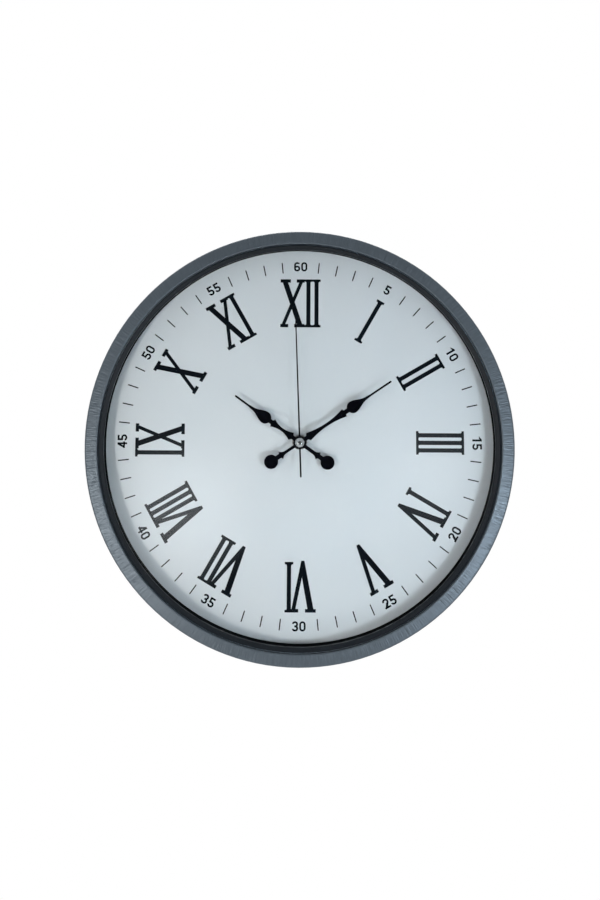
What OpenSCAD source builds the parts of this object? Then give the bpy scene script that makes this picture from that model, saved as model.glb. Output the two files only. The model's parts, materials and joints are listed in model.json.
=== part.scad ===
// Round wall clock with a continuous quartz movement.
// It hangs on a screw head in the keyhole. The origin is the centre of that hole, on the back face.
// The dial faces -Y, up is +Z, and the wall is the plane y = 0.
// Inside clock_frame() the clock is drawn face up: local x is right, local y is up,
// and local z is the height above the wall, with the hands' axis at x = y = 0.

/* [Case] */
// Outer diameter of the case
case_d = 350; // [300:10:400]
// Depth from the wall to the front of the case
case_depth = 46; // [46:1:52]
// Width of the front band of the case, up to the groove
band_w = 11.4; // [9:0.1:11.5]
// Width of the ring between the groove and the open face
step_w = 4; // [4:0.1:6]
// Wall thickness of the case
shell_t = 2.5; // [2:0.1:3]
// Height of the dial's back face above the wall
dial_z = 24; // [24:0.5:26]
// Height of the glass's back face above the dial's back face
glass_rise = 15; // [15:0.5:18]

/* [Back] */
// Thickness of the back cover
cover_t = 3; // [2.5:0.1:4]
// Height of the hanging hole above the hands' axis
hang_rise = 130; // [115:1:135]
// Radius of the hanging hole's round entry
hang_r = 4.5; // [4:0.1:6]
// Width of the hanging slot
hang_slot_w = 4.6; // [4:0.1:5.5]
// Number of cover screws
screw_count = 6; // [4:1:8]

/* [Dial] */
// Radius at which the Roman numerals start
numeral_r = 96; // [80:0.5:97]
// Height of the Roman numerals
numeral_h = 41; // [30:0.5:41]
// Inner radius of the minute ticks
tick_r = 142.8; // [141:0.1:144]
// Length of the minute ticks
tick_len = 9.1; // [6:0.1:10]
// Width of the minute ticks
tick_w = 0.95; // [0.5:0.05:1.2]
// Height of the minute numbers
digit_h = 8; // [6:0.1:9]
// Width of one minute digit
digit_w = 5.2; // [4:0.1:6]
// Stroke of the minute digits
digit_stroke = 1.5; // [0.8:0.05:1.6]

/* [Hands] */
// Hour shown by the hour hand, as an angle clockwise from twelve
hour_angle = 305.3; // [0:0.1:360]
// Minute hand's angle clockwise from twelve
minute_angle = 56.2; // [0:0.1:360]
// Second hand's angle clockwise from twelve
second_angle = 357.8; // [0:0.1:360]
// Length of the hour hand from the axis to the tip
hour_len = 66.2; // [62:0.1:70]
// Length of the minute hand from the axis to the tip
minute_len = 91.4; // [85:0.1:94]
// Length of the second hand from the axis to the tip
second_len = 101; // [90:0.5:120]
// Sheet thickness of the hour and minute hands
hand_t = 0.5; // [0.3:0.1:0.6]

/* [Movement] */
// Side of the square movement
movement_side = 56; // [56:1:60]
// Wall thickness of the movement's cases
movement_wall = 1.5; // [1.2:0.1:2]
// Module of the fast wheels
fast_module = 0.3; // [0.3:0.01:0.31]
// Thickness of a train wheel
wheel_t = 0.7; // [0.5:0.1:0.9]

/* [Hidden] */
$fn = 96;

gap = 0.3;         // clearance between loose neighbours
slip = 0.05;       // radial clearance of a running fit
seat = 0.02;       // radial clearance of pieces pressed together
film = 0.05;       // gap between faces that touch
cut = 1;           // how far a cutting shape runs past the face it cuts

// Case, from the outside in
case_r = case_d / 2;
groove_w = 0.8;
groove_r = case_r - band_w;               // inner edge of the front band
open_r = groove_r - step_w;               // open face in front of the glass
dial_r = open_r + 1.8;                    // visible dial, inside the spacer
inset_r = groove_r - gap;                 // outer radius of everything dropped in from the front
edge_play = 0.2;                          // extra play round the glass and the dial
shell_in_r = case_r - shell_t;            // inside of the outer wall
inner_wall_r = groove_r + 2.2;            // outside of the inner wall
ledge_r = open_r - 2;                     // the ledge that carries the dial
draft = 1.4;                              // how much narrower the case is at the wall

// Heights above the wall
dial_t = 2;
dial_top = dial_z + dial_t;
ink_t = 0.1;
glass_z = dial_z + glass_rise;
glass_t = 2;
lens_z = glass_z + glass_t;
lens_top = lens_z + 4;                    // front of the ring that holds the glass

// Back cover
cover_r = shell_in_r - gap;
screw_ring_r = groove_r - 3.5;           // bosses stand against the inner wall, under the ledge
screw_r = 1.3;
screw_head_r = 2.7;
screw_head_t = 1.5;
screw_len = 11;
screw_sunk = 0.2;                         // how far the heads lie below the cover's face
screw_turn = 30;                          // angle of the first screw, clear of the hanging hole
boss_r = 3.8;
window_side = movement_side + 2;
window_r = 3;
skirt_t = 1.6;
skirt_h = 12;

// Movement
movement_corner_r = 2;
sink = 0.5;                               // how far a rib or post runs into the plate it stands on
move_z = 7;
move_top = dial_z - 1;
split_z = 15;
front_plate_z = move_top - movement_wall;
rear_plate_top = move_z + movement_wall;
inner_half = movement_side / 2 - movement_wall;
bridge_z = 13.9;
bridge_t = 0.8;

// Battery, an AA cell
battery_r = 7.25;
wrap_t = 0.2;                             // printed film round the can
battery_len = 49.2;
terminal_len = 1.3;
terminal_r = 2.7;
battery_y = -inner_half + battery_r + 0.1;
battery_z = front_plate_z - battery_r - 0.15;
tray_wall_t = 0.9;
tray_half = 25.2;                         // half length of the wall beside the battery
tray_wall_y = battery_y + battery_r + 0.1;
contact_t = 0.4;
blade_foot_y = -25;                       // lower end of the contact blades
blade_low_z = 9.2;
blade_high_z = 19;
strip_top_z = 10.4;                       // top of the strips from the blades to the board

// Wheel train: tooth counts
rotor_teeth = 12;
intermediate_teeth = 60;
intermediate_leaves = 10;
seconds_teeth = 60;
seconds_leaves = 8;
third_teeth = 60;
third_leaves = 8;
centre_teeth = 64;
cannon_teeth = 12;
motion_teeth = 36;
motion_leaves = 10;
hour_teeth = 40;

// Wheel train: distances between arbors, and the modules that they give
rotor_gap = fast_module * (rotor_teeth + intermediate_teeth) / 2;
seconds_gap = fast_module * (intermediate_leaves + seconds_teeth) / 2;
third_gap = fast_module * (seconds_leaves + third_teeth) / 2;
centre_module = 2 * third_gap / (third_leaves + centre_teeth);
motion_gap = 10.8;
cannon_module = 2 * motion_gap / (cannon_teeth + motion_teeth);
hour_module = 2 * motion_gap / (motion_leaves + hour_teeth);

// Wheel train: directions from one arbor to the next, anticlockwise from local x
intermediate_dir = 150;
rotor_dir = 90;
third_dir = 60;
motion_dir = -10;

function polar(r, a) = [r * cos(a), r * sin(a)];
intermediate_at = polar(seconds_gap, intermediate_dir);
rotor_at = intermediate_at + polar(rotor_gap, rotor_dir);
third_at = polar(third_gap, third_dir);
motion_at = polar(motion_gap, motion_dir);

// Wheel train: heights above the wall
rotor_pinion_z = 10.2;
intermediate_z = 10.6;
seconds_z = 12.6;
third_z = 15.1;
centre_z = 16.5;
motion_z = 18.6;
hour_wheel_z = 20;
magnet_z = 11.9;
magnet_t = 1.3;
magnet_r = 3;

// Arbors and pipes
pivot_r = 0.35;
pivot_foot_z = move_z + 1;                // lower ends of the pivots in the rear plate
magnet_bore_r = 0.9;
knob_seat_z = move_z - 1.4;               // rear end of the setting shaft, in its knob
arbor_r = 0.75;
arbor_tip_r = 0.5;                        // end of the seconds arbor, in the second hand's bush
second_bush_r = 1.1;
minute_pipe_r = 1.7;
hour_pipe_r = 2.55;
bushing_r = 4;
washer_r = 6.2;
washer_t = 0.5;
bushing_top = dial_top + 4.5;
hour_pipe_top = bushing_top + 1.7;
minute_pipe_top = hour_pipe_top + 2.4;
arbor_top = minute_pipe_top + 1.2;

// Hands
hour_hand_z = bushing_top + 0.8;
minute_hand_z = hour_pipe_top + 1.5;
second_hand_z = minute_pipe_top + 1;
second_t = 0.3;
hub_r = 5.2;
cap_r = 4;
cap_h = 1.7;
bush_lip = 0.4;
bush_wall = 0.6;

// Teeth: shares of the pitch that a tooth takes at its root and at its tip
root_share = 0.46;
tip_share = 0.2;
addendum = 0.95;
dedendum = 1.25;

// Colours
case_grey = [0.42, 0.46, 0.50];
lens_grey = [0.20, 0.22, 0.24];
gloss_black = [0.03, 0.03, 0.04];
dial_white = [0.86, 0.88, 0.90];
ink_black = [0.07, 0.09, 0.12];
hand_black = [0.04, 0.04, 0.05];
moulding_black = [0.10, 0.10, 0.11];
steel = [0.72, 0.73, 0.75];
brass = [0.78, 0.62, 0.30];
copper = [0.72, 0.38, 0.18];
nylon = [0.90, 0.89, 0.84];
board_green = [0.12, 0.36, 0.22];

// The shared frame from the clock's own local frame
module clock_frame() {
    translate([0, 0, -hang_rise]) rotate([90, 0, 0]) children();
}

// A ring or disc between two radii and two heights
module ring(r_in, r_out, z0, z1) {
    translate([0, 0, z0]) difference() {
        cylinder(r = r_out, h = z1 - z0);
        if (r_in > 0) translate([0, 0, -cut]) cylinder(r = r_in, h = z1 - z0 + 2 * cut);
    }
}

// A plate between two corners, extruded between two heights
module slab(from, to, z0, z1) {
    translate([from[0], from[1], z0]) cube([to[0] - from[0], to[1] - from[1], z1 - z0]);
}

// A square with rounded corners, centred on the axis
module rounded_square(side, r) {
    square([side, side - 2 * r], center = true);
    square([side - 2 * r, side], center = true);
    for (x = [-1, 1], y = [-1, 1])
        translate([x * (side / 2 - r), y * (side / 2 - r)]) circle(r = r);
}

// ---- Case ----

// One child at each cover screw, on local y, turned round the case
module at_screws() {
    for (i = [0:screw_count - 1])
        rotate(screw_turn + i * 360 / screw_count) translate([0, screw_ring_r, 0]) children();
}

module bezel_frame() {
    side_h = case_depth - 8;              // the drafted outer wall ends here
    band_t = 5;                           // thickness of the front band
    band_fall = 1.4;                      // how much lower the band lies at its outer edge
    outer_edge = 1.4;                     // rounding between the band and the outer wall
    inner_edge = 0.8;                     // chamfer between the band and the groove
    groove_z = lens_top - 2.4;
    cover_gap = 0.1;
    wall_profile = [
        [case_r - draft - shell_t, 0], [case_r - draft, 0], [case_r, side_h],
        // the front band, an even bevel that falls away towards the outside
        [case_r, case_depth - band_fall - outer_edge],
        [case_r - outer_edge * 0.3, case_depth - band_fall - outer_edge * 0.3],
        [case_r - outer_edge, case_depth - band_fall],
        [groove_r + groove_w + inner_edge, case_depth],
        [groove_r + groove_w, case_depth - inner_edge],
        // the groove, the seat of the glass and the ledge
        [groove_r + groove_w, groove_z], [groove_r, groove_z], [groove_r, dial_z], [ledge_r, dial_z],
        [ledge_r, dial_z - shell_t], [groove_r, dial_z - shell_t],
        // the inner wall and the underside of the band
        [groove_r, cover_t + cover_gap], [inner_wall_r, cover_t + cover_gap],
        [inner_wall_r, case_depth - band_t], [case_r - shell_t, case_depth - band_t]
    ];
    color(case_grey) clock_frame() difference() {
        union() {
            rotate_extrude($fn = 240) polygon(wall_profile);
            at_screws() translate([0, 0, cover_t + cover_gap])
                cylinder(r = boss_r, h = dial_z - shell_t - cover_t, $fn = 32);
        }
        at_screws() cylinder(r = screw_r + seat, h = screw_len + 2, $fn = 32);
    }
}

module lens_ring() {
    tab_count = 4;
    tab_turn = 50;
    notch = [2.4, 1.4, 3.6];
    edge = 0.6;                           // chamfer beside the groove
    lip = 0.9;                            // width and drop of the chamfer round the opening
    profile = [
        [open_r, lens_z + film], [inset_r, lens_z + film], [inset_r, lens_top - edge],
        [inset_r - edge, lens_top], [open_r + lip, lens_top - lip], [open_r, lens_top - 1.8 * lip]
    ];
    color(lens_grey) clock_frame() difference() {
        rotate_extrude($fn = 240) polygon(profile);
        // finger notches of the snap tabs
        for (i = [0:tab_count - 1])
            rotate(-tab_turn - i * 360 / tab_count) translate([0, open_r, lens_top])
                cube(notch, center = true);
    }
}

module front_glass() {
    color([0.85, 0.92, 0.95, 0.3]) clock_frame() ring(0, inset_r - edge_play, glass_z, glass_z + glass_t);
}

module dial_spacer() {
    color(gloss_black) clock_frame() ring(dial_r, inset_r, dial_top + film, glass_z - film);
}

module dial_plate() {
    color(dial_white) clock_frame() ring(bushing_r + 0.15, inset_r - edge_play, dial_z + seat, dial_top);
}

module back_cover() {
    through = cover_t + 2 * cut;
    color(moulding_black) clock_frame() difference() {
        union() {
            ring(0, cover_r - draft, 0, cover_t);
            linear_extrude(cover_t + skirt_h) rounded_square(window_side + 2 * skirt_t, window_r + skirt_t);
        }
        translate([0, 0, -cut]) linear_extrude(cover_t + skirt_h + 2 * cut)
            rounded_square(window_side, window_r);
        translate([0, hang_rise, -cut]) cylinder(r = hang_r, h = through);
        translate([0, hang_rise, -cut]) linear_extrude(through) {
            translate([-hang_slot_w / 2, 0]) square([hang_slot_w, 2 * hang_r]);
            translate([0, 2 * hang_r]) circle(r = hang_slot_w / 2);
        }
        at_screws() translate([0, 0, -cut]) {
            cylinder(r = screw_r + 0.3, h = through, $fn = 32);
            cylinder(r = screw_head_r + 0.2, h = screw_head_t + screw_sunk + cut, $fn = 32);
        }
    }
}

module cover_screws() {
    recess = [3, 0.7, 1.4];
    color(steel) clock_frame() at_screws() translate([0, 0, screw_sunk]) difference() {
        union() {
            cylinder(r = screw_head_r, h = screw_head_t, $fn = 32);
            cylinder(r = screw_r, h = screw_len, $fn = 32);
        }
        for (turn = [0, 90]) rotate(turn) cube(recess, center = true);
    }
}

// ---- Dial print ----

i_stroke = 3.5;
i_serif_w = 7;
serif_t = 2;
bold_serif_t = 2.8;
fillet_r = 1.1;

// A triangle-like bracket that rounds the corner between a stroke and its serif
module bracket(x, y, side_x, side_y) {
    translate([x, y]) difference() {
        translate([side_x > 0 ? -0.05 : -fillet_r, side_y > 0 ? -0.05 : -fillet_r])
            square(fillet_r + 0.05);
        translate([side_x * fillet_r, side_y * fillet_r]) circle(r = fillet_r, $fn = 24);
    }
}

// The letter I, centred on x = 0, from y = foot to the full height
module letter_i(foot) {
    top = numeral_h;
    translate([-i_stroke / 2, foot]) square([i_stroke, top - foot]);
    translate([-i_serif_w / 2, foot]) square([i_serif_w, serif_t]);
    translate([-i_serif_w / 2, top - serif_t]) square([i_serif_w, serif_t]);
    for (side = [-1, 1]) {
        bracket(side * i_stroke / 2, foot + serif_t, side, 1);
        bracket(side * i_stroke / 2, top - serif_t, side, -1);
    }
}

// A slanted stroke of a given horizontal width, from (x0, y0) to (x1, y1) along its middle
module slant(x0, y0, x1, y1, w) {
    polygon([[x0 - w / 2, y0], [x0 + w / 2, y0], [x1 + w / 2, y1], [x1 - w / 2, y1]]);
}

// A free serif from x0 to x1, standing on y
module serif(x0, x1, y) {
    translate([x0, y]) square([x1 - x0, bold_serif_t]);
}

// The letter V, 21.6 wide, with a heavy left leg and a flat point
module letter_v() {
    top = numeral_h;
    crotch_y = 13.4;
    difference() {
        polygon([[-1.4, 0], [1.2, 0], [9.6, top], [-9.5, top]]);
        polygon([[0.6, crotch_y], [6.6, top + cut], [-4.7, top + cut]]);
    }
    serif(-10.8, -2, top - bold_serif_t);
    serif(3.5, 10.8, top - bold_serif_t);
}

// The letter X, 20.8 wide, with its heavy stroke from the top left
module letter_x() {
    slant(6.6, 1, -6.7, numeral_h - 1, 4.6);
    slant(-8.2, 1, 7.9, numeral_h - 1, 3.1);
    serif(-10.3, -3.5, 0);
    serif(1.5, 10.3, 0);
    serif(-10.2, -1.5, numeral_h - bold_serif_t);
    serif(3.5, 10.3, numeral_h - bold_serif_t);
}

// One numeral: letters with their places across the numeral. Beside an X the letter I is as tall as it
module numeral(letters) {
    beside_x = len([for (letter = letters) if (letter[0] == "X") letter]) > 0;
    for (letter = letters) translate([letter[1], 0]) {
        if (letter[0] == "I") letter_i(beside_x ? 0 : 1);
        if (letter[0] == "V") letter_v();
        if (letter[0] == "X") letter_x();
    }
}

HOURS = [
    [["X", -6.8], ["I", 6.7], ["I", 13.6]],
    [["I", 0]],
    [["I", -3.45], ["I", 3.45]],
    [["I", -6.2], ["I", 0], ["I", 6.2]],
    [["I", -11], ["V", 3]],
    [["V", 0]],
    [["V", -3], ["I", 8.2]],
    [["V", -3.4], ["I", 7.3], ["I", 13.8]],
    [["V", -6], ["I", 3.9], ["I", 9.8], ["I", 15.7]],
    [["I", -9.1], ["X", 4.5]],
    [["X", 0]],
    [["X", -3.9], ["I", 9.75]]
];

module hour_numerals() {
    color(ink_black) clock_frame() translate([0, 0, dial_top]) linear_extrude(ink_t)
        for (hour = [0:11])
            rotate(-30 * hour) translate([0, numeral_r]) numeral(HOURS[hour]);
}

// An oval stroke in a digit's box, with round ends of radius w / 2
module bowl(x, y, w, h) {
    translate([x, y]) difference() {
        pill(w, h);
        pill(w - 2 * digit_stroke, h - 2 * digit_stroke);
    }
}

// An upright or level shape with round ends, from the origin's corner, centred in its box
module pill(w, h) {
    r = min(w, h) / 2;
    for (end = [-1, 1])
        translate([w > h ? end * (w / 2 - r) : 0, w > h ? 0 : end * (h / 2 - r)]) circle(r = r, $fn = 32);
    if (w > h) square([w - h, h], center = true);
    if (h > w) square([w, h - w], center = true);
}

// The part of its children inside a box with its lowest corner at [x, y]
module keep(x, y, w, h) {
    intersection() {
        children();
        translate([x, y]) square([w, h]);
    }
}

// Digits are drawn in a box digit_w wide and digit_h high, with its centre at the origin
module digit(n) {
    w = digit_w;
    h = digit_h;
    s = digit_stroke;
    low = 0.31 * h;                       // half of the height of a lower bowl
    if (n == 0) bowl(0, 0, w, h);
    if (n == 1) {
        translate([0, -h / 2]) square([s * 1.1, h]);
        slant(-w * 0.33, h * 0.2, s * 0.55, h / 2 - 0.3, s * 1.3);
    }
    if (n == 2) {
        keep(-w / 2, h * 0.18, w, h) bowl(0, h / 2 - low, w, 2 * low);
        keep(0, -h / 2, w, h) bowl(0, h / 2 - low, w, 2 * low);
        slant(-w / 2 + s * 0.8, -h / 2 + 0.4, w / 2 - s * 1.1, 0.02 * h, s * 1.5);
        translate([-w / 2, -h / 2]) square([w, s]);
    }
    if (n == 3) {
        half = h / 2 + s / 2;
        keep(-w * 0.1, -h / 2, w, h) bowl(0, h / 2 - half / 2, w * 0.96, half);
        keep(-w * 0.1, -h / 2, w, h) bowl(0, -h / 2 + half / 2, w, half);
        keep(-w / 2, h / 2 - 0.26 * h, w, h) bowl(0, h / 2 - half / 2, w * 0.96, half);
        keep(-w / 2, -h / 2, w, 0.26 * h) bowl(0, -h / 2 + half / 2, w, half);
    }
    if (n == 4) {
        translate([w * 0.1, -h / 2]) square([s, h]);
        translate([-w / 2, -h * 0.28]) square([w * 1.04, s]);
        slant(-w / 2 + s * 0.6, -h * 0.2, w * 0.1 + s * 0.5, h / 2, s * 1.2);
    }
    if (n == 5) {
        keep(0, -h / 2, w, h) bowl(0, -h / 2 + low, w, 2 * low);
        keep(-w / 2, -h / 2, w, 0.27 * h) bowl(0, -h / 2 + low, w, 2 * low);
        keep(-w * 0.42, -h / 2 + 2 * low - s, w * 0.5, s * 1.05) square([w, h], center = true);
        translate([-w * 0.42, h / 2 - s]) square([w * 0.84, s]);
        translate([-w * 0.42, -0.02 * h]) square([s, h / 2]);
    }
    if (n == 6) {
        bowl(0, -h / 2 + low, w, 2 * low);
        keep(-w / 2, -h * 0.2, w / 2, h) bowl(0, 0, w, h);
        keep(-w / 2, h * 0.3, w, h) bowl(0, 0, w, h);
    }
}

// A minute number of one or two digits, centred on the origin
module minute_number(value) {
    pitch = digit_w + 0.85;
    if (value < 10) digit(value);
    if (value >= 10) {
        translate([-pitch / 2, 0]) digit(floor(value / 10));
        translate([pitch / 2, 0]) digit(value % 10);
    }
}

module minute_scale() {
    number_r = tick_r + tick_len / 2 + 0.5;
    color(ink_black) clock_frame() translate([0, 0, dial_top]) linear_extrude(ink_t)
        for (minute = [1:60]) rotate(-6 * minute) {
            if (minute % 5 != 0) translate([-tick_w / 2, tick_r]) square([tick_w, tick_len]);
            if (minute % 5 == 0)
                translate([0, number_r]) rotate(minute >= 20 && minute <= 40 ? 180 : 0)
                    minute_number(minute);
        }
}

// ---- Hands ----

// Points between two stations [y, half width] of an outline.
// Kind 0 bends at both ends, 1 is straight, 2 leaves its first end level, 3 meets its last end level
function easing(t, kind) =
    kind == 0 ? t * t * (3 - 2 * t) :
    kind == 1 ? t :
    kind == 2 ? t * t : 1 - (1 - t) * (1 - t);
function stretch(from, to) =
    let (steps = to[2] == 1 ? 1 : 8)
    [for (i = [1:steps]) let (t = i / steps)
        [from[1] + (to[1] - from[1]) * easing(t, to[2]), from[0] + (to[0] - from[0]) * t]];
function one_side(stations) =
    [for (i = [1:len(stations) - 1]) each stretch(stations[i - 1], stations[i])];

// A symmetrical blade from its stations, each [distance from the axis, half width, kind of edge]
module blade(stations) {
    side = concat([[stations[0][1], stations[0][0]]], one_side(stations));
    count = len(side);
    mirrored = [for (i = [0:count - 1]) [-side[count - 1 - i][0], side[count - 1 - i][1]]];
    polygon(concat(side, mirrored));
}

bulb_r = 5.1;
bulb_taper = 13;         // from the middle of the bulb to the end of its taper
ball_r = 5.8;
ball_y = 28.2;
collar_half = 3.6;       // half width at the sharp corners of the shoulder and the collars
collar_step = 0.6;       // length of the edge from a collar's corners to its neck
neck_half = 1.9;         // half width between a collar and the bulb or ball beyond it
shoulder_y = 8.7;
shank_from = 3;          // the shanks start inside the ring round the axis
tip_half = 0.8;

// The counterweight behind the axis, with its shank's half width
module tail(shank_half) {
    flare_y = 14.3;
    collar_y = 18.7;
    rotate(180) {
        blade([
            [shank_from, shank_half, 1], [flare_y, shank_half, 1], [collar_y, collar_half, 2],
            [collar_y + collar_step, neck_half, 1], [ball_y - ball_r + collar_step, neck_half, 1]
        ]);
        translate([0, ball_y]) circle(r = ball_r);
    }
}

// A spade hand: ring, shoulder, waist, collar, bulb and needle. waist is [place, half width]
module spade(waist, collar_y, bulb_y, tip_y, tail_half, bore_r) {
    root_half = 1.7;
    taper_y = bulb_y + bulb_taper;
    difference() {
        union() {
            circle(r = hub_r);
            blade([
                [shank_from, root_half, 1], [shoulder_y - 2 * collar_step, root_half, 1],
                [shoulder_y, collar_half, 1], [waist[0], waist[1], 3], [collar_y, collar_half, 2],
                [collar_y + collar_step, neck_half, 1], [bulb_y - bulb_r + collar_step, neck_half, 1]
            ]);
            translate([0, bulb_y]) circle(r = bulb_r);
            blade([
                [bulb_y, bulb_r, 1], [taper_y, 1.5 * tip_half, 0], [taper_y + 5, tip_half, 0],
                [tip_y - tip_half, tip_half, 1]
            ]);
            translate([0, tip_y - tip_half]) circle(r = tip_half, $fn = 24);
            tail(tail_half);
        }
        circle(r = bore_r, $fn = 48);
    }
}

module hour_hand() {
    color(hand_black) clock_frame() rotate(-hour_angle) translate([0, 0, hour_hand_z])
        linear_extrude(hand_t)
            spade([18.2, 1.3], 27.6, 35.3, hour_len, 1.5, hour_pipe_r + bush_wall);
}

module minute_hand() {
    color(hand_black) clock_frame() rotate(-minute_angle) translate([0, 0, minute_hand_z])
        linear_extrude(hand_t)
            spade([26.5, 1.25], 44.2, 52.8, minute_len, 1.2, minute_pipe_r + bush_wall);
}

module second_hand() {
    tail_len = 27.9;
    disc_r = 2.4;
    color(hand_black) clock_frame() rotate(-second_angle) translate([0, 0, second_hand_z])
        linear_extrude(second_t) difference() {
            union() {
                blade([[-tail_len, 0.7, 1], [0, 0.7, 1], [second_len, 0.5, 1]]);
                circle(r = disc_r);
            }
            circle(r = second_bush_r, $fn = 32);
        }
}

// A pressed collet on a pipe: a tube through the hand's hole with a lip below and above
module collet(pipe_r, hand_z) {
    hole_r = pipe_r + bush_wall;
    top = hand_z + hand_t + bush_lip / 2;
    ring(pipe_r + seat, hole_r + bush_wall, hand_z - bush_lip, hand_z - seat);
    ring(pipe_r + seat, hole_r - seat, hand_z - bush_lip, top);
    ring(pipe_r + seat, hole_r + bush_lip, hand_z + hand_t + seat, top);
}

module hour_hand_bush() {
    color(steel) clock_frame()
        collet(hour_pipe_r, hour_hand_z);
}

module minute_hand_bush() {
    color(steel) clock_frame()
        collet(minute_pipe_r, minute_hand_z);
}

module second_hand_bush() {
    color(steel) clock_frame() difference() {
        ring(0, second_bush_r - seat, minute_pipe_top + gap, second_hand_z + second_t);
        ring(0, arbor_tip_r + seat, minute_pipe_top, arbor_top + 0.1);
    }
}

module second_hand_cap() {
    dome_r = (cap_r * cap_r + cap_h * cap_h) / (2 * cap_h);
    base_z = second_hand_z + second_t + seat;
    color(steel) clock_frame() intersection() {
        translate([0, 0, base_z + cap_h - dome_r]) sphere(r = dome_r, $fn = 128);
        ring(0, cap_r, base_z, base_z + cap_h + cut);
    }
}

// ---- Movement: fixed pieces ----

module battery_bay(z0, z1) {
    slab([-inner_half, -inner_half], [inner_half, tray_wall_y], z0, z1);
}

module movement_rear_case() {
    posts = [[-24.3, 8], [24.3, 8], [-24.3, -8], [24.3, -8]];
    bearings = [[0, 0], intermediate_at, rotor_at];
    post_r = 1.5;
    bearing_r = 1.4;
    finger_slot = [14, 3.2, 5];
    foot_z = move_z + sink;
    color(moulding_black) clock_frame() difference() {
        union() {
            difference() {
                translate([0, 0, move_z]) linear_extrude(split_z - film - move_z)
                    rounded_square(movement_side, movement_corner_r);
                translate([0, 0, rear_plate_top]) linear_extrude(split_z)
                    square(2 * inner_half, center = true);
            }
            slab([-tray_half, tray_wall_y], [tray_half, tray_wall_y + tray_wall_t], foot_z, split_z - film);
            for (at = posts) translate([at[0], at[1], foot_z])
                cylinder(r = post_r, h = bridge_z - seat - foot_z, $fn = 32);
            for (at = bearings) translate([at[0], at[1], foot_z])
                cylinder(r = bearing_r, h = rear_plate_top + 1.1 - foot_z, $fn = 32);
        }
        // the battery goes in and out through the rear plate
        battery_bay(move_z - cut, rear_plate_top + cut);
        // bearings of the arbors, and the setting shaft's hole
        for (at = bearings) translate([at[0], at[1], move_z + 0.8])
            cylinder(r = pivot_r + slip, h = 6, $fn = 32);
        translate([motion_at[0], motion_at[1], move_z - cut])
            cylinder(r = arbor_r + slip, h = 6, $fn = 32);
        // slot for a fingertip beside the battery
        translate([0, -movement_side / 2, move_z]) cube(finger_slot, center = true);
    }
}

module movement_front_case() {
    recesses = [third_at, motion_at];
    color(moulding_black) clock_frame() difference() {
        union() {
            difference() {
                translate([0, 0, split_z + film]) linear_extrude(move_top - split_z - film)
                    rounded_square(movement_side, movement_corner_r);
                translate([0, 0, split_z - cut]) linear_extrude(front_plate_z - split_z + cut)
                    square(2 * inner_half, center = true);
            }
            slab([-tray_half, tray_wall_y], [tray_half, tray_wall_y + tray_wall_t],
                split_z + film, front_plate_z + sink);
        }
        translate([0, 0, front_plate_z - cut]) cylinder(r = bushing_r + seat, h = 2 * movement_wall + cut);
        for (at = recesses) translate([at[0], at[1], front_plate_z - cut])
            cylinder(r = pivot_r + slip, h = cut + 0.9, $fn = 32);
    }
}

module train_bridge() {
    color(nylon) clock_frame() difference() {
        slab([-25.8, -9.6], [25.8, 10], bridge_z, bridge_z + bridge_t);
        translate([0, 0, bridge_z - cut]) cylinder(r = arbor_r + slip, h = 2 * cut + bridge_t, $fn = 32);
        translate([motion_at[0], motion_at[1], bridge_z - cut])
            cylinder(r = arbor_r + slip, h = 2 * cut + bridge_t, $fn = 32);
        for (at = [intermediate_at, third_at]) translate([at[0], at[1], bridge_z - cut])
            cylinder(r = pivot_r + slip, h = 2 * cut + bridge_t, $fn = 32);
    }
    // arm that carries the rotor's upper pivot
    color(nylon) clock_frame() difference() {
        slab([rotor_at[0] - 2.5, 10], [rotor_at[0] + 2.5, rotor_at[1] + 2.5], bridge_z, bridge_z + bridge_t);
        translate([rotor_at[0], rotor_at[1], bridge_z - cut])
            cylinder(r = pivot_r + slip, h = 2 * cut + bridge_t, $fn = 32);
    }
}

module threaded_bushing() {
    thread_from = dial_top + 0.6;
    thread_pitch = 0.75;
    thread_depth = 0.35;
    turns = floor((bushing_top - thread_from - 0.5) / thread_pitch);
    color(brass) clock_frame() difference() {
        union() {
            ring(hour_pipe_r + slip, bushing_r, front_plate_z, bushing_top);
            ring(hour_pipe_r + slip, bushing_r + 1.4, move_top, move_top + 0.4);
        }
        for (i = [0:turns - 1]) translate([0, 0, thread_from + (i + 0.5) * thread_pitch])
            rotate_extrude() polygon([
                [bushing_r + 0.1, -thread_pitch / 2 + 0.05], [bushing_r - thread_depth, 0],
                [bushing_r + 0.1, thread_pitch / 2 - 0.05]
            ]);
    }
}

module rubber_washer() {
    color(moulding_black) clock_frame() ring(bushing_r + 1.5, 12, move_top + seat, dial_z);
}

module steel_washer() {
    color(steel) clock_frame() ring(bushing_r + seat, washer_r, dial_top + seat, dial_top + seat + washer_t);
}

module mounting_nut() {
    nut_flats = 11;
    nut_t = 2.4;
    nut_r = nut_flats / sqrt(3);          // at its corners
    bevel_w = 0.45;
    bevel_h = 0.3;
    base_z = dial_top + washer_t + 2 * seat;
    color(steel) clock_frame() difference() {
        intersection() {
            translate([0, 0, base_z]) cylinder(r = nut_r, h = nut_t, $fn = 6);
            translate([0, 0, base_z]) rotate_extrude() polygon([
                [0, 0], [nut_r - bevel_w, 0], [nut_r, bevel_h], [nut_r, nut_t - bevel_h],
                [nut_r - bevel_w, nut_t], [0, nut_t]
            ]);
        }
        translate([0, 0, base_z - cut]) cylinder(r = bushing_r + seat, h = nut_t + 2 * cut);
    }
}

// ---- Movement: electrical pieces ----

board_from = [7.5, 13];
board_to = [25.5, 26];
board_z = 9.6;
board_t = 1;
coil_y = 22.6;
coil_from_x = -18;
coil_to_x = 0;
coil_z = 13.1;
spool_r = 1.7;
cheek_r = 2.95;
cheek_t = 0.9;
core_overhang = 3.5;                      // how far the core runs past each end of the bobbin
stator_t = 0.8;

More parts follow.
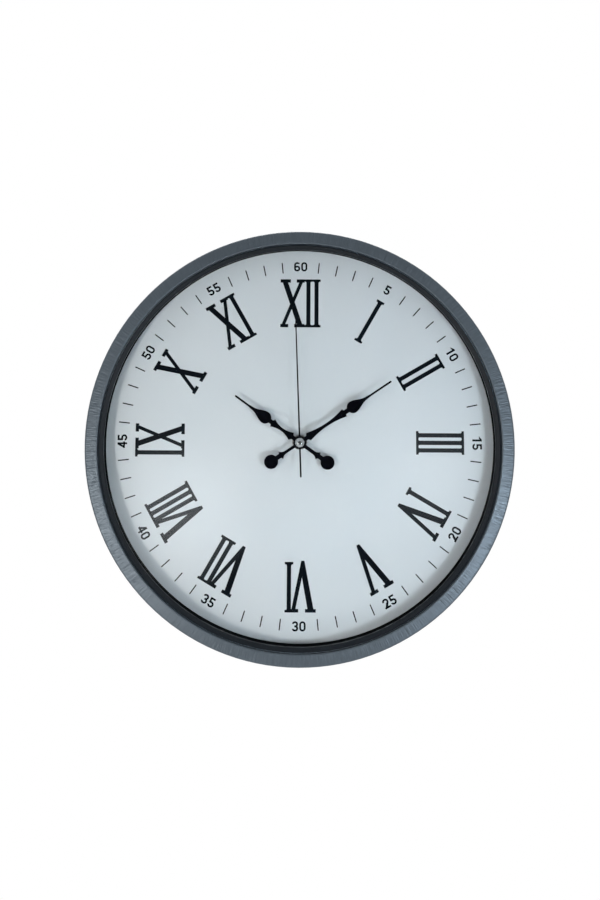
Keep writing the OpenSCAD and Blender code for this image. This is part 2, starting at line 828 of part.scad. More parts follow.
module circuit_board() {
    foot_r = 1.2;
    color(board_green) clock_frame() union() {
        slab(board_from, board_to, board_z, board_z + board_t);
        for (x = [board_from[0] + 2.5, board_to[0] - 2.5])
            translate([x, board_from[1] + 2, rear_plate_top + seat])
                cylinder(r = foot_r, h = board_z - rear_plate_top, $fn = 24);
    }
}

module quartz_crystal() {
    can_r = 1.5;
    can_len = 8;
    can_at = [board_from[0] + 2, board_to[1] - 2.4, board_z + board_t + can_r + seat];
    color(steel) clock_frame() translate(can_at)
        rotate([0, 90, 0]) union() {
            cylinder(r = can_r, h = can_len, $fn = 32);
            translate([0, 0, can_len]) cylinder(r = can_r * 0.8, h = 0.6, $fn = 32);
        }
}

module chip_cover() {
    blob_at = [board_to[0] - 6.5, board_from[1] + 4.8, board_z + board_t + seat];
    color(gloss_black) clock_frame() translate(blob_at)
        rotate_extrude() polygon([[0, 0], [3.4, 0], [3.1, 0.6], [2.2, 1.1], [1, 1.35], [0, 1.4]]);
}

module coil_bobbin() {
    color(nylon) clock_frame() translate([coil_from_x, coil_y, coil_z]) rotate([0, 90, 0]) difference() {
        union() {
            cylinder(r = spool_r, h = coil_to_x - coil_from_x);
            cylinder(r = cheek_r, h = cheek_t);
            translate([0, 0, coil_to_x - coil_from_x - cheek_t]) cylinder(r = cheek_r, h = cheek_t);
        }
        cube([stator_t + 0.2, 2.2, 4 * (coil_to_x - coil_from_x)], center = true);
    }
}

module drive_coil() {
    color(copper) clock_frame() translate([coil_from_x + cheek_t + seat, coil_y, coil_z]) rotate([0, 90, 0])
        ring(spool_r + seat, cheek_r - 0.2, 0, coil_to_x - coil_from_x - 2 * (cheek_t + seat));
}

module coil_core() {
    color(steel) clock_frame()
        slab([coil_from_x - core_overhang, coil_y - 1], [coil_to_x + core_overhang, coil_y + 1],
            coil_z - stator_t / 2, coil_z + stator_t / 2);
}

module stator() {
    plate_z = coil_z - stator_t * 1.5 - seat;
    left = coil_from_x - core_overhang;
    right = coil_to_x + core_overhang;
    color(steel) clock_frame() difference() {
        union() {
            slab([left, 13], [right, 19.2], plate_z, plate_z + stator_t);
            slab([left, 19], [left + 3, coil_y + 1.4], plate_z, plate_z + stator_t);
            slab([right - 3, 19], [right, coil_y + 1.4], plate_z, plate_z + stator_t);
        }
        translate([rotor_at[0], rotor_at[1], plate_z - cut])
            cylinder(r = magnet_r + 0.35, h = stator_t + 2 * cut);
    }
}

module positive_contact() {
    x = inner_half - contact_t - 0.1;
    color(steel) clock_frame() union() {
        slab([x, blade_foot_y], [x + contact_t, tray_wall_y - 1], blade_low_z, blade_high_z);
        slab([x, tray_wall_y - 1.5], [x + contact_t, board_from[1] - 0.2], blade_low_z, strip_top_z);
        slab([x - 1.5, board_from[1] - 0.6], [x + contact_t, board_from[1] - 0.2],
            blade_low_z, strip_top_z);
    }
}

module negative_contact() {
    x = -inner_half + 0.1;
    strip_z = rear_plate_top + 0.05;
    strip_y = tray_wall_y + tray_wall_t + 0.1;
    rise_x = 21;
    color(steel) clock_frame() union() {
        slab([x, blade_foot_y], [x + contact_t, tray_wall_y - 1], blade_low_z, blade_high_z);
        slab([x, tray_wall_y - 1.5], [x + contact_t, strip_y + contact_t], strip_z, strip_top_z);
        slab([x, strip_y], [rise_x + contact_t, strip_y + contact_t], strip_z, strip_z + 1);
        slab([rise_x, strip_y], [rise_x + contact_t, board_from[1] - 0.1], strip_z, strip_z + 1);
    }
}

// ---- Movement: wheel train ----

// Outline of a gear. turn is the angle of the middle of its first tooth
function gear_points(teeth, size, turn) =
    let (pitch = 360 / teeth, tip = size * (teeth / 2 + addendum), root = size * (teeth / 2 - dedendum))
    [for (i = [0:teeth - 1]) let (a = turn + i * pitch) each [
        polar(root, a - pitch * root_share / 2), polar(tip, a - pitch * tip_share / 2),
        polar(tip, a + pitch * tip_share / 2), polar(root, a + pitch * root_share / 2)
    ]];

module gear(teeth, size, turn, thick) {
    linear_extrude(thick) polygon(gear_points(teeth, size, turn));
}

// Angle of a driven gear's first tooth that puts one of its gaps opposite a tooth of the driver.
// dir is the direction from the driver's axis to the driven gear's
function mesh_turn(driver_turn, driver_teeth, driven_teeth, dir) =
    let (share = (dir - driver_turn) * driver_teeth / 360)
    dir + 180 - (0.5 - share) * 360 / driven_teeth;

intermediate_turn = mesh_turn(0, rotor_teeth, intermediate_teeth, rotor_dir + 180);
seconds_turn = mesh_turn(0, intermediate_leaves, seconds_teeth, intermediate_dir + 180);
third_turn = mesh_turn(0, seconds_leaves, third_teeth, third_dir);
centre_turn = mesh_turn(0, third_leaves, centre_teeth, third_dir + 180);
motion_turn = mesh_turn(0, cannon_teeth, motion_teeth, motion_dir);
hour_turn = mesh_turn(0, motion_leaves, hour_teeth, motion_dir + 180);

module rotor_magnet() {
    color([0.30, 0.30, 0.32]) clock_frame() translate(rotor_at)
        ring(magnet_bore_r + seat, magnet_r, magnet_z, magnet_z + magnet_t);
}

module rotor_pinion() {
    color(nylon) clock_frame() translate([rotor_at[0], rotor_at[1], 0]) {
        translate([0, 0, rotor_pinion_z]) gear(rotor_teeth, fast_module, 0, magnet_z - 0.1 - rotor_pinion_z);
        translate([0, 0, rotor_pinion_z])
            cylinder(r = magnet_bore_r, h = bridge_z - 0.2 - rotor_pinion_z, $fn = 32);
        translate([0, 0, pivot_foot_z]) cylinder(r = pivot_r, h = bridge_z + 0.7 - pivot_foot_z, $fn = 32);
    }
}

module intermediate_wheel() {
    leaves_z = intermediate_z + wheel_t;
    color(nylon) clock_frame() translate([intermediate_at[0], intermediate_at[1], 0]) {
        translate([0, 0, intermediate_z])
            gear(intermediate_teeth, fast_module, intermediate_turn, wheel_t);
        translate([0, 0, leaves_z - 0.1])
            gear(intermediate_leaves, fast_module, 0, bridge_z - 0.2 - leaves_z + 0.1);
        translate([0, 0, intermediate_z - 0.6]) cylinder(r = 0.8, h = 1, $fn = 32);
        translate([0, 0, pivot_foot_z]) cylinder(r = pivot_r, h = bridge_z + 0.7 - pivot_foot_z, $fn = 32);
    }
}

module seconds_wheel() {
    leaves_z = bridge_z + bridge_t + 0.1;
    color(nylon) clock_frame() {
        translate([0, 0, seconds_z]) gear(seconds_teeth, fast_module, seconds_turn, wheel_t);
        translate([0, 0, leaves_z])
            gear(seconds_leaves, fast_module, 0, third_z + wheel_t + 0.2 - leaves_z);
        translate([0, 0, seconds_z - 2.2])
            cylinder(r = arbor_r, h = minute_pipe_top + 0.2 - seconds_z + 2.2);
        translate([0, 0, pivot_foot_z]) cylinder(r = pivot_r, h = 4, $fn = 32);
        translate([0, 0, minute_pipe_top])
            cylinder(r = arbor_tip_r, h = arbor_top - minute_pipe_top, $fn = 48);
    }
}

module third_wheel() {
    color(nylon) clock_frame() translate([third_at[0], third_at[1], 0]) {
        translate([0, 0, third_z]) gear(third_teeth, fast_module, third_turn, wheel_t);
        translate([0, 0, third_z + wheel_t - 0.1])
            gear(third_leaves, centre_module, 0, centre_z + wheel_t + 0.3 - third_z - wheel_t + 0.1);
        translate([0, 0, bridge_z + 0.1])
            cylinder(r = pivot_r, h = front_plate_z + 0.7 - bridge_z - 0.1, $fn = 32);
        translate([0, 0, bridge_z + bridge_t + 0.1]) cylinder(r = 0.7, h = 0.5, $fn = 32);
    }
}

module centre_wheel() {
    hub_out_r = 3.2;
    color(nylon) clock_frame() difference() {
        union() {
            translate([0, 0, centre_z]) gear(centre_teeth, centre_module, centre_turn, wheel_t);
            ring(0, hub_out_r, centre_z, centre_z + wheel_t + 0.6);
        }
        ring(0, minute_pipe_r + slip, centre_z - cut, centre_z + wheel_t + 0.6 + cut);
    }
}

module cannon_pinion() {
    foot_z = centre_z - 0.5;
    leaves_z = motion_z - 0.3;
    color(brass) clock_frame() difference() {
        union() {
            translate([0, 0, foot_z]) cylinder(r = minute_pipe_r, h = minute_pipe_top - foot_z);
            translate([0, 0, leaves_z]) gear(cannon_teeth, cannon_module, 0, wheel_t + 0.6);
        }
        ring(0, arbor_r + slip, foot_z - cut, minute_pipe_top + cut);
    }
}

module motion_wheel() {
    leaves_top = hour_wheel_z + wheel_t + 0.3;
    color(nylon) clock_frame() translate([motion_at[0], motion_at[1], 0]) {
        translate([0, 0, motion_z]) gear(motion_teeth, cannon_module, motion_turn, wheel_t);
        translate([0, 0, motion_z + wheel_t - 0.1])
            gear(motion_leaves, hour_module, 0, leaves_top - motion_z - wheel_t + 0.1);
        translate([0, 0, knob_seat_z]) cylinder(r = arbor_r, h = motion_z + 0.2 - knob_seat_z, $fn = 48);
        translate([0, 0, leaves_top - 0.1])
            cylinder(r = pivot_r, h = front_plate_z + 0.7 - leaves_top + 0.1, $fn = 32);
    }
}

module setting_knob() {
    knob_r = 6;
    knob_z = 2.6;
    knob_top = move_z - gap;
    grip_count = 18;
    grip_r = 0.55;
    dish_r = 3.4;
    color(nylon) clock_frame() translate([motion_at[0], motion_at[1], 0]) difference() {
        translate([0, 0, knob_z]) cylinder(r = knob_r, h = knob_top - knob_z);
        for (i = [0:grip_count - 1]) rotate(i * 360 / grip_count)
            translate([knob_r + 0.25, 0, knob_z - cut])
                cylinder(r = grip_r, h = knob_top - knob_z - 0.6 + cut, $fn = 16);
        translate([0, 0, knob_seat_z - seat]) cylinder(r = arbor_r + seat, h = 3, $fn = 48);
        ring(0, dish_r, knob_z - cut, knob_z + 0.6);
    }
}

module hour_wheel() {
    color(brass) clock_frame() difference() {
        union() {
            translate([0, 0, hour_wheel_z]) gear(hour_teeth, hour_module, hour_turn, wheel_t);
            translate([0, 0, hour_wheel_z]) cylinder(r = hour_pipe_r, h = hour_pipe_top - hour_wheel_z);
        }
        ring(0, minute_pipe_r + slip, hour_wheel_z - cut, hour_pipe_top + cut);
    }
}

// ---- Battery ----

module battery_frame() {
    clock_frame() translate([-inner_half + contact_t + 0.25, battery_y, battery_z]) rotate([0, 90, 0])
        children();
}

module battery_can() {
    can_r = battery_r - wrap_t;
    bevel = 0.5;
    color(steel) battery_frame() rotate_extrude() polygon([
        [0, 0], [can_r - bevel, 0], [can_r, bevel],
        [can_r, battery_len - bevel], [can_r - bevel, battery_len], [0, battery_len]
    ]);
}

module battery_sleeve() {
    color([0.15, 0.35, 0.55]) battery_frame()
        ring(battery_r - wrap_t + seat, battery_r, wrap_t, battery_len - wrap_t);
}

module battery_terminal() {
    color(steel) battery_frame() translate([0, 0, battery_len + seat])
        cylinder(r = terminal_r, h = terminal_len);
}

bezel_frame();
lens_ring();
front_glass();
dial_spacer();
dial_plate();
hour_numerals();
minute_scale();
back_cover();
cover_screws();
movement_front_case();
movement_rear_case();
train_bridge();
threaded_bushing();
rubber_washer();
steel_washer();
mounting_nut();
circuit_board();
quartz_crystal();
chip_cover();
coil_bobbin();
drive_coil();
coil_core();
stator();
positive_contact();
negative_contact();
rotor_magnet();
rotor_pinion();
intermediate_wheel();
seconds_wheel();
second_hand();
second_hand_bush();
second_hand_cap();
third_wheel();
centre_wheel();
cannon_pinion();
minute_hand();
minute_hand_bush();
motion_wheel();
setting_knob();
hour_wheel();
hour_hand();
hour_hand_bush();
battery_can();
battery_sleeve();
battery_terminal();
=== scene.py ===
"""Looks of the round wall clock: its materials, small moulded marks, the lights and the camera."""

import json
import math

import bmesh
import bpy
from mathutils import Matrix, Vector


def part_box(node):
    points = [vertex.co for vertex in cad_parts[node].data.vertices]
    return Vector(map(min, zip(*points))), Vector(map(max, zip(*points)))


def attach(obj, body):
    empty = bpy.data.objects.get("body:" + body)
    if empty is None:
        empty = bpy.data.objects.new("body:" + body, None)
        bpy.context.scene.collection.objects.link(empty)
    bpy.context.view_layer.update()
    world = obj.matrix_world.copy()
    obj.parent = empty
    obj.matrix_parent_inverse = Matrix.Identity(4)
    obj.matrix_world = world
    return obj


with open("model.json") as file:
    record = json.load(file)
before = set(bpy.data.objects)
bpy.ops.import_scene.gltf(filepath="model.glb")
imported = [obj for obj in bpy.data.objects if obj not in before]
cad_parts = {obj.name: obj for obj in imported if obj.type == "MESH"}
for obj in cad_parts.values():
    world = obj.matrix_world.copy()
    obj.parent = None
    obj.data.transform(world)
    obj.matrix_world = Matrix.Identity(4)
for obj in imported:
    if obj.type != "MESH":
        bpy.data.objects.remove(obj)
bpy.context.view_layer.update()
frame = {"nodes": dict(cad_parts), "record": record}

MM = 0.001

# The hands' axis, and the measures that the camera, the lights and the textures are set from
dial_low, dial_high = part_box("dial_plate")
axis_at = (dial_low + dial_high) / 2
dial_face_y = dial_low.y
case_low, case_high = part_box("bezel_frame")
case_radius = (case_high.x - case_low.x) / 2
case_front_mm = case_low.y / MM


# ---- Node helpers ----


def material_base(name):
    """A material with one Principled shader: (material, node tree, shader)."""
    material = bpy.data.materials.new(name)
    material.use_nodes = True
    tree = material.node_tree
    tree.nodes.clear()
    shader = tree.nodes.new("ShaderNodeBsdfPrincipled")
    output = tree.nodes.new("ShaderNodeOutputMaterial")
    tree.links.new(shader.outputs["BSDF"], output.inputs["Surface"])
    return material, tree, shader


def feed(tree, sockets, values):
    """Set each socket to its number, or link it to the output given in its place."""
    for socket, value in zip(sockets, values):
        if isinstance(value, (int, float)):
            socket.default_value = value
        else:
            tree.links.new(value, socket)


def math_node(tree, operation, first, second=0.0):
    """The result of one calculation on two numbers or outputs."""
    node = tree.nodes.new("ShaderNodeMath")
    node.operation = operation
    feed(tree, node.inputs, (first, second))
    return node.outputs[0]


def object_place(tree):
    """The point in the row frame, at rest, in metres."""
    return tree.nodes.new("ShaderNodeTexCoord").outputs["Object"]


def round_place(tree):
    """(distance along the rim, distance from the axis, depth) of a point, in millimetres."""
    parts = tree.nodes.new("ShaderNodeSeparateXYZ")
    tree.links.new(object_place(tree), parts.inputs[0])
    right = math_node(tree, "SUBTRACT", parts.outputs["X"], axis_at.x)
    up = math_node(tree, "SUBTRACT", parts.outputs["Z"], axis_at.z)
    angle = math_node(tree, "ARCTAN2", right, up)
    along = math_node(tree, "MULTIPLY", angle, case_radius / MM)
    squares = math_node(
        tree, "ADD", math_node(tree, "MULTIPLY", right, right), math_node(tree, "MULTIPLY", up, up)
    )
    across = math_node(tree, "MULTIPLY", math_node(tree, "SQRT", squares), 1 / MM)
    depth = math_node(tree, "MULTIPLY", parts.outputs["Y"], 1 / MM)
    return along, across, depth


def stretched_place(tree, parts, rates):
    """The point whose three numbers are the parts, each multiplied by its own rate."""
    node = tree.nodes.new("ShaderNodeCombineXYZ")
    feed(tree, node.inputs, [math_node(tree, "MULTIPLY", *pair) for pair in zip(parts, rates)])
    return node.outputs[0]


def noise(tree, place, scale, detail, spread=0.5):
    """Cloudy noise, mostly between 0.3 and 0.7, finer with more scale and rougher with more detail."""
    node = tree.nodes.new("ShaderNodeTexNoise")
    node.inputs["Scale"].default_value = scale
    node.inputs["Detail"].default_value = detail
    node.inputs["Roughness"].default_value = spread
    tree.links.new(place, node.inputs["Vector"])
    return node.outputs["Fac"]


def spread_to(tree, value, low, high, from_low=0.3, from_high=0.7):
    """value, mostly between from_low and from_high, as a number between low and high."""
    node = tree.nodes.new("ShaderNodeMapRange")
    node.inputs["From Min"].default_value = from_low
    node.inputs["From Max"].default_value = from_high
    node.inputs["To Min"].default_value = low
    node.inputs["To Max"].default_value = high
    tree.links.new(value, node.inputs["Value"])
    return node.outputs["Result"]


def between(tree, share, first, second):
    """A colour between two, by a share from 0 to 1."""
    node = tree.nodes.new("ShaderNodeMix")
    node.data_type = "RGBA"
    node.inputs["A"].default_value = (*first, 1)
    node.inputs["B"].default_value = (*second, 1)
    tree.links.new(share, node.inputs["Factor"])
    return node.outputs["Result"]


def bump(tree, shader, height, depth_mm):
    """Let a height from 0 to 1 stand up by depth_mm in the shading."""
    node = tree.nodes.new("ShaderNodeBump")
    node.inputs["Strength"].default_value = 1.0
    node.inputs["Distance"].default_value = depth_mm * MM
    tree.links.new(height, node.inputs["Height"])
    tree.links.new(node.outputs["Normal"], shader.inputs["Normal"])


# ---- Materials ----


def moulded(name, dark, light, roughness, grain_mm=0.5, grain_depth_mm=0.02, coat=0.0, shine=0.5):
    """Moulded or painted surface: a slight mottle, a fine grain and uneven gloss."""
    material, tree, shader = material_base(name)
    place = object_place(tree)
    mottle = noise(tree, place, scale=40, detail=5)
    grain = noise(tree, place, scale=1 / (grain_mm * MM), detail=3)
    gloss = noise(tree, place, scale=160, detail=6)
    share = spread_to(tree, mottle, 0, 1)
    tree.links.new(between(tree, share, dark, light), shader.inputs["Base Color"])
    tree.links.new(spread_to(tree, gloss, roughness * 0.8, roughness * 1.2), shader.inputs["Roughness"])
    shader.inputs["Coat Weight"].default_value = coat
    shader.inputs["Specular IOR Level"].default_value = shine
    shader.inputs["Coat Roughness"].default_value = 0.08
    bump(tree, shader, grain, grain_depth_mm)
    return material


def plated(name, dark, light, roughness, line_mm=0.25):
    """Bare or plated metal with fine drawing lines and duller patches."""
    material, tree, shader = material_base(name)
    place = object_place(tree)
    # The lines run along X, so the noise is drawn out that way
    stretched = tree.nodes.new("ShaderNodeMapping")
    stretched.inputs["Scale"].default_value = (0.08, 1.0, 1.0)
    tree.links.new(place, stretched.inputs["Vector"])
    lines = noise(tree, stretched.outputs["Vector"], scale=1 / (line_mm * MM), detail=3)
    patches = noise(tree, place, scale=220, detail=5)
    tree.links.new(between(tree, spread_to(tree, patches, 0, 1), dark, light), shader.inputs["Base Color"])
    tree.links.new(spread_to(tree, lines, roughness * 0.7, roughness * 1.3), shader.inputs["Roughness"])
    shader.inputs["Metallic"].default_value = 1.0
    bump(tree, shader, lines, depth_mm=0.008)
    return material


def brushed_grey():
    """Grey-blue metallic lacquer, brushed across the rim, with the strokes stronger in patches."""
    material, tree, shader = material_base("brushed_grey")
    parts = round_place(tree)
    depth = parts[2]
    # Noise per millimetre along the rim, away from the axis and in depth
    stroke_rates = (0.62, 0.07, 0.07)
    patch_rates = (0.02, 0.2, 0.0)
    strokes = noise(tree, stretched_place(tree, parts, stroke_rates), scale=1.0, detail=2, spread=0.6)
    patches = noise(tree, stretched_place(tree, parts, patch_rates), scale=1.0, detail=3)
    patch_strength = spread_to(tree, patches, 0.4, 1.0, from_low=0.4, from_high=0.65)
    # Full strokes on the front band, fainter ones on the side wall. They fade between two depths
    side_strength = 0.2
    fade_start = case_front_mm + 2.5
    fade_end = case_front_mm + 5.0
    side_fade = spread_to(tree, depth, 1.0, side_strength, from_low=fade_start, from_high=fade_end)
    strength = math_node(tree, "MULTIPLY", patch_strength, side_fade)
    middle = 0.5
    centred = math_node(tree, "SUBTRACT", strokes, middle)
    share = math_node(tree, "ADD", math_node(tree, "MULTIPLY", centred, strength), middle)
    colour_share = spread_to(tree, share, 0, 1, from_low=0.2, from_high=0.8)
    colour = between(tree, colour_share, (0.17, 0.205, 0.24), (0.22, 0.26, 0.30))
    tree.links.new(colour, shader.inputs["Base Color"])
    rough = spread_to(tree, share, 0.36, 0.50, from_low=0.38, from_high=0.62)
    tree.links.new(rough, shader.inputs["Roughness"])
    shader.inputs["Metallic"].default_value = 0.85
    bump(tree, shader, share, depth_mm=0.95)
    return material


def dark_ring():
    """Satin dark blue-grey lacquer with faint turning marks."""
    material, tree, shader = material_base("dark_grey_ring")
    turning_rates = (0.02, 1.0, 1.0)
    turned = noise(tree, stretched_place(tree, round_place(tree), turning_rates), scale=3.0, detail=4)
    colour = between(tree, spread_to(tree, turned, 0, 1), (0.005, 0.008, 0.012), (0.012, 0.017, 0.023))
    tree.links.new(colour, shader.inputs["Base Color"])
    tree.links.new(spread_to(tree, turned, 0.36, 0.5), shader.inputs["Roughness"])
    shader.inputs["Specular IOR Level"].default_value = 0.3
    bump(tree, shader, turned, depth_mm=0.01)
    return material


def glass():
    """Clear flat glass with a trace of haze from wiping."""
    material, tree, shader = material_base("glass")
    smears = noise(tree, object_place(tree), scale=18, detail=6)
    tree.links.new(spread_to(tree, smears, 0.0, 0.03), shader.inputs["Roughness"])
    shader.inputs["Base Color"].default_value = (0.98, 0.995, 1.0, 1)
    shader.inputs["Transmission Weight"].default_value = 1.0
    shader.inputs["IOR"].default_value = 1.46
    return material


def dial_white():
    """Cool white coated board with a barely visible tooth."""
    material, tree, shader = material_base("dial_white")
    place = object_place(tree)
    cloud = noise(tree, place, scale=12, detail=4)
    tooth = noise(tree, place, scale=2500, detail=2)
    colour = between(tree, spread_to(tree, cloud, 0, 1), (0.71, 0.765, 0.80), (0.74, 0.785, 0.815))
    tree.links.new(colour, shader.inputs["Base Color"])
    tree.links.new(spread_to(tree, tooth, 0.5, 0.62), shader.inputs["Roughness"])
    bump(tree, shader, tooth, depth_mm=0.004)
    return material


def rings(name, dark, light, roughness, pitch_mm, metallic):
    """A wound or turned surface: fine ridges at a regular pitch along X."""
    material, tree, shader = material_base(name)
    # At scale 1, Blender's wave repeats after this length
    wave_length = 0.314
    wave = tree.nodes.new("ShaderNodeTexWave")
    wave.bands_direction = "X"
    wave.inputs["Scale"].default_value = wave_length / (pitch_mm * MM)
    wave.inputs["Distortion"].default_value = 0.3
    tree.links.new(object_place(tree), wave.inputs["Vector"])
    ridge = wave.outputs["Fac"]
    # The colour follows the ridges: painted shade in the hollows between turns, painted highlight on crests
    tree.links.new(between(tree, ridge, dark, light), shader.inputs["Base Color"])
    rough = spread_to(tree, ridge, roughness * 0.8, roughness * 1.2, from_low=0, from_high=1)
    tree.links.new(rough, shader.inputs["Roughness"])
    shader.inputs["Metallic"].default_value = metallic
    bump(tree, shader, ridge, depth_mm=0.04)
    return material


# Each takes a dark and a light colour and a roughness. Then moulded takes grain size and depth in mm
# and coat, plated takes the spacing of its lines in mm, and rings takes its pitch in mm and metallic
MATERIALS = {
    "brushed_grey": brushed_grey(),
    "dark_grey_ring": dark_ring(),
    "glass": glass(),
    "gloss_black": moulded(
        "gloss_black", (0.001, 0.002, 0.003), (0.003, 0.004, 0.005), 0.5, 3.0, 0.01, shine=0.0
    ),
    "dial_white": dial_white(),
    "ink": moulded("ink", (0.002, 0.004, 0.007), (0.004, 0.007, 0.011), 0.5, 0.3, 0.004, shine=0.03),
    "moulded_black": moulded("moulded_black", (0.016, 0.017, 0.019), (0.026, 0.027, 0.030), 0.5, 0.9, 0.05),
    "movement_black": moulded(
        "movement_black", (0.012, 0.012, 0.014), (0.021, 0.021, 0.024), 0.42, 0.6, 0.03
    ),
    "screw_steel": plated("screw_steel", (0.42, 0.42, 0.43), (0.60, 0.60, 0.60), 0.3),
    "plated_steel": plated("plated_steel", (0.52, 0.51, 0.48), (0.68, 0.67, 0.63), 0.25),
    "brass": plated("brass", (0.50, 0.35, 0.13), (0.70, 0.52, 0.23), 0.28),
    "copper_wire": rings("copper_wire", (0.16, 0.045, 0.015), (0.60, 0.23, 0.08), 0.3, 0.12, 1.0),
    "magnet": moulded("magnet", (0.04, 0.04, 0.045), (0.08, 0.08, 0.085), 0.38, 0.25, 0.015),
    "white_nylon": moulded("white_nylon", (0.68, 0.67, 0.61), (0.78, 0.77, 0.72), 0.38, 0.6, 0.01),
    "knob_plastic": moulded("knob_plastic", (0.62, 0.61, 0.57), (0.72, 0.71, 0.67), 0.4, 0.5, 0.015),
    "rubber": moulded("rubber", (0.014, 0.014, 0.014), (0.026, 0.026, 0.026), 0.75, 0.4, 0.03),
    "board": moulded("board", (0.012, 0.08, 0.03), (0.025, 0.14, 0.06), 0.35, 1.2, 0.02, 0.3),
    "hand_black": moulded(
        "hand_black", (0.0008, 0.001, 0.003), (0.002, 0.0025, 0.005), 0.4, 0.4, 0.006, shine=0.01
    ),
    "bright_cap": plated("bright_cap", (0.66, 0.67, 0.68), (0.80, 0.81, 0.82), 0.1, 0.6),
    "battery_metal": plated("battery_metal", (0.50, 0.50, 0.50), (0.66, 0.66, 0.65), 0.28),
    "battery_wrap": moulded("battery_wrap", (0.018, 0.075, 0.17), (0.03, 0.11, 0.24), 0.22, 4.0, 0.01, 0.4),
}

for part in frame["record"]["subparts"]:
    mesh = frame["nodes"][part["node"]].data
    mesh.materials.clear()
    mesh.materials.append(MATERIALS[part["material_slot"]])

# Glass lets the lamps through to the dial
frame["nodes"]["front_glass"].visible_shadow = False


# ---- Moulded marks on the back of the movement ----

rear_face_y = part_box("movement_rear_case")[1].y
knob_low, knob_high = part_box("setting_knob")
knob_at = (knob_low + knob_high) / 2
mark_rise = 0.25 * MM
mark_sink = 0.1 * MM
mark_edge = 0.08 * MM


def raised_mark(name, outlines):
    """Low raised plates on the movement's rear face, from closed outlines of (x, z) in metres."""
    mesh = bmesh.new()
    for outline in outlines:
        ring = [mesh.verts.new((x, rear_face_y - mark_sink, z)) for x, z in outline]
        face = mesh.faces.new(ring)
        grown = bmesh.ops.extrude_face_region(mesh, geom=[face])
        moved = [item for item in grown["geom"] if isinstance(item, bmesh.types.BMVert)]
        bmesh.ops.translate(mesh, verts=moved, vec=(0, mark_sink + mark_rise, 0))
    bmesh.ops.recalc_face_normals(mesh, faces=mesh.faces)
    data = bpy.data.meshes.new(name)
    mesh.to_mesh(data)
    mesh.free()
    piece = bpy.data.objects.new(name, data)
    bpy.context.scene.collection.objects.link(piece)
    data.materials.append(MATERIALS["movement_black"])
    soften = piece.modifiers.new("soften", "BEVEL")
    soften.width = mark_edge
    soften.segments = 2
    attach(piece, "root")


def bar(x, z, width, height):
    """Outline of an upright rectangle round a centre."""
    return [
        (x - width / 2, z - height / 2), (x + width / 2, z - height / 2),
        (x + width / 2, z + height / 2), (x - width / 2, z + height / 2),
    ]


def cross(x, z, size, stroke):
    """Outline of a plus sign."""
    a, b = size / 2, stroke / 2
    return [(x + dx, z + dz) for dx, dz in (
        (-b, -a), (b, -a), (b, -b), (a, -b), (a, b), (b, b),
        (b, a), (-b, a), (-b, b), (-a, b), (-a, -b), (-b, -b),
    )]


def arc_arrow(centre, radius, stroke, start, end, steps=20):
    """Outline of a bent arrow round a centre, from one angle to another in degrees."""
    def at(r, degrees):
        a = math.radians(degrees)
        return (centre.x + r * math.cos(a), centre.z + r * math.sin(a))

    turn = (end - start) / steps
    outer = [at(radius + stroke / 2, start + i * turn) for i in range(steps + 1)]
    inner = [at(radius - stroke / 2, start + i * turn) for i in range(steps, -1, -1)]
    head_half = 1.6 * stroke
    head_turn = 14
    head = [at(radius + head_half, end), at(radius, end + head_turn), at(radius - head_half, end)]
    return outer + head + inner


battery_low, battery_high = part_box("battery_sleeve")
mark_size = 2.4 * MM
mark_stroke = 0.7 * MM
mark_inset = 3 * MM
mark_gap = 2.4 * MM
polarity_z = battery_high.z + mark_gap
plus_x = battery_high.x - mark_inset
minus_x = battery_low.x + mark_inset
raised_mark("polarity_plus", [cross(plus_x, polarity_z, mark_size, mark_stroke)])
raised_mark("polarity_minus", [bar(minus_x, polarity_z, mark_size, mark_stroke)])
arrow_radius = 8.2 * MM
arrow_stroke = 0.8 * MM
arrow_start = 20
arrow_end = 120
arrow = arc_arrow(knob_at, arrow_radius, arrow_stroke, arrow_start, arrow_end)
raised_mark("setting_arrow", [arrow])


# ---- Floor, surroundings, lights and camera ----


def pale_floor(drop=1.2, size=3.0):
    """A plain pale floor well below the hanging clock."""
    mesh = bpy.data.meshes.new("floor")
    half = size / 2
    height = case_low.z - drop
    mesh.from_pydata(
        [(-half, -half, height), (half, -half, height), (half, half, height), (-half, half, height)],
        [], [(0, 1, 2, 3)],
    )
    floor = bpy.data.objects.new("floor", mesh)
    bpy.context.scene.collection.objects.link(floor)
    material, tree, shader = material_base("floor")
    cloud = noise(tree, object_place(tree), scale=2, detail=3)
    colour = between(tree, cloud, (0.93, 0.93, 0.93), (0.96, 0.96, 0.96))
    tree.links.new(colour, shader.inputs["Base Color"])
    shader.inputs["Roughness"].default_value = 0.9
    mesh.materials.append(material)


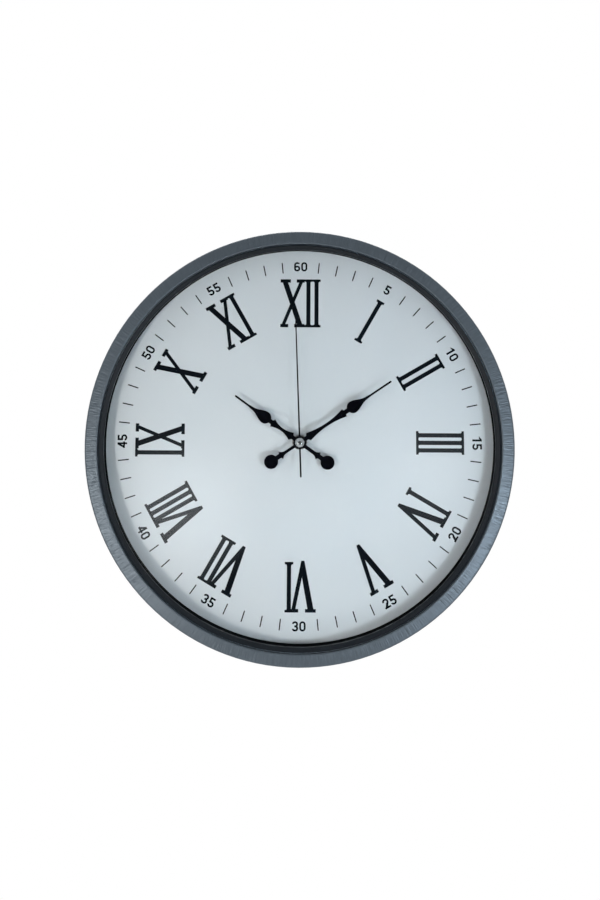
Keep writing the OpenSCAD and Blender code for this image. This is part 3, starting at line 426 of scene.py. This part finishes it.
def surroundings(bright, dim, glows):
    """Pale surroundings, dim straight in front of the clock. The camera itself sees plain white.

    glows are soft bright places in the dim part: (direction, cosine at its rim, strength).
    """
    world = bpy.data.worlds.new("studio")
    bpy.context.scene.world = world
    world.use_nodes = True
    tree = world.node_tree
    tree.nodes.clear()
    place = tree.nodes.new("ShaderNodeTexCoord")
    parts = tree.nodes.new("ShaderNodeSeparateXYZ")
    tree.links.new(place.outputs["Generated"], parts.inputs[0])
    frontness = math_node(tree, "MULTIPLY", parts.outputs["Y"], -1)
    level = spread_to(tree, frontness, bright, dim, from_low=0.80, from_high=0.95)
    for direction, rim, strength in glows:
        aim = tree.nodes.new("ShaderNodeVectorMath")
        aim.operation = "DOT_PRODUCT"
        tree.links.new(place.outputs["Generated"], aim.inputs[0])
        aim.inputs[1].default_value = Vector(direction).normalized()
        glow = spread_to(tree, aim.outputs["Value"], 0, 1, rim, 1)
        added = math_node(tree, "MULTIPLY", math_node(tree, "MULTIPLY", glow, glow), strength)
        level = math_node(tree, "ADD", level, added)
    light = tree.nodes.new("ShaderNodeBackground")
    light.inputs["Color"].default_value = (0.93, 0.97, 1.0, 1)
    tree.links.new(level, light.inputs["Strength"])
    plain = tree.nodes.new("ShaderNodeBackground")
    plain.inputs["Color"].default_value = (1, 1, 1, 1)
    plain.inputs["Strength"].default_value = 1.0
    path = tree.nodes.new("ShaderNodeLightPath")
    mix = tree.nodes.new("ShaderNodeMixShader")
    output = tree.nodes.new("ShaderNodeOutputWorld")
    tree.links.new(path.outputs["Is Camera Ray"], mix.inputs["Fac"])
    tree.links.new(light.outputs[0], mix.inputs[1])
    tree.links.new(plain.outputs[0], mix.inputs[2])
    tree.links.new(mix.outputs[0], output.inputs["Surface"])


def soft_light(name, place, side, watts, colour, reflected=True):
    """A square lamp at (right, front, up) metres from the middle of the dial, turned towards it.

    A lamp that isn't reflected lights the clock, but doesn't show in its glass or its shine.
    """
    right, front, up = place
    lamp = bpy.data.lights.new(name, "AREA")
    lamp.shape = "SQUARE"
    lamp.size = side
    lamp.energy = watts
    lamp.color = colour
    holder = bpy.data.objects.new(name, lamp)
    holder.location = axis_at + Vector((right, -front, up))
    holder.rotation_mode = "QUATERNION"
    holder.rotation_quaternion = (axis_at - holder.location).to_track_quat("-Z", "Y")
    holder.visible_camera = False
    holder.visible_glossy = reflected
    holder.visible_transmission = reflected
    bpy.context.scene.collection.objects.link(holder)


def photo_camera():
    """The camera, slightly above the hands' axis and looking a little up, with its view moved down."""
    # In metres, degrees and camera millimetres, fitted to the outlines in the photograph
    distance = 0.70
    rise = 0.0373
    pitch_up = math.radians(6.66)
    roll = math.radians(0.32)
    camera = bpy.data.cameras.new("camera")
    camera.sensor_width = 36.0
    camera.lens = 33.12
    camera.shift_x = -0.0006
    camera.shift_y = -0.1662
    camera.clip_start = 0.01
    holder = bpy.data.objects.new("camera", camera)
    place = Matrix.Translation((axis_at.x, dial_face_y - distance, axis_at.z + rise))
    aim = Matrix.Rotation(math.radians(90) + pitch_up, 4, "X") @ Matrix.Rotation(roll, 4, "Z")
    holder.matrix_world = place @ aim
    bpy.context.scene.collection.objects.link(holder)
    bpy.context.scene.camera = holder


pale_floor()
# The cosine of 6 degrees
glow_rim = 0.9945
surroundings(bright=0.42, dim=0.02, glows=[
    ((-0.14, -0.981, -0.133), glow_rim, 1.3),
    ((0.155, -0.98, -0.09), glow_rim, 0.5),
])
soft_light("lamp_left", (-0.32, 0.50, -0.17), side=0.07, watts=0.79, colour=(1.0, 0.955, 0.90))
soft_light("lamp_right", (0.32, 0.50, -0.17), side=0.07, watts=0.92, colour=(0.86, 0.94, 1.0))
soft_light("back_fill", (0.0, -1.50, 0.90), side=1.2, watts=16.0, colour=(1.0, 0.99, 0.97))
# If the fill were reflected, the glass would mirror it over the hands
soft_light(
    "front_fill", (0.0, 1.60, 0.25), side=1.0, watts=1.0, colour=(0.96, 0.98, 1.0), reflected=False
)
bpy.context.scene.view_settings.view_transform = "Standard"
photo_camera()
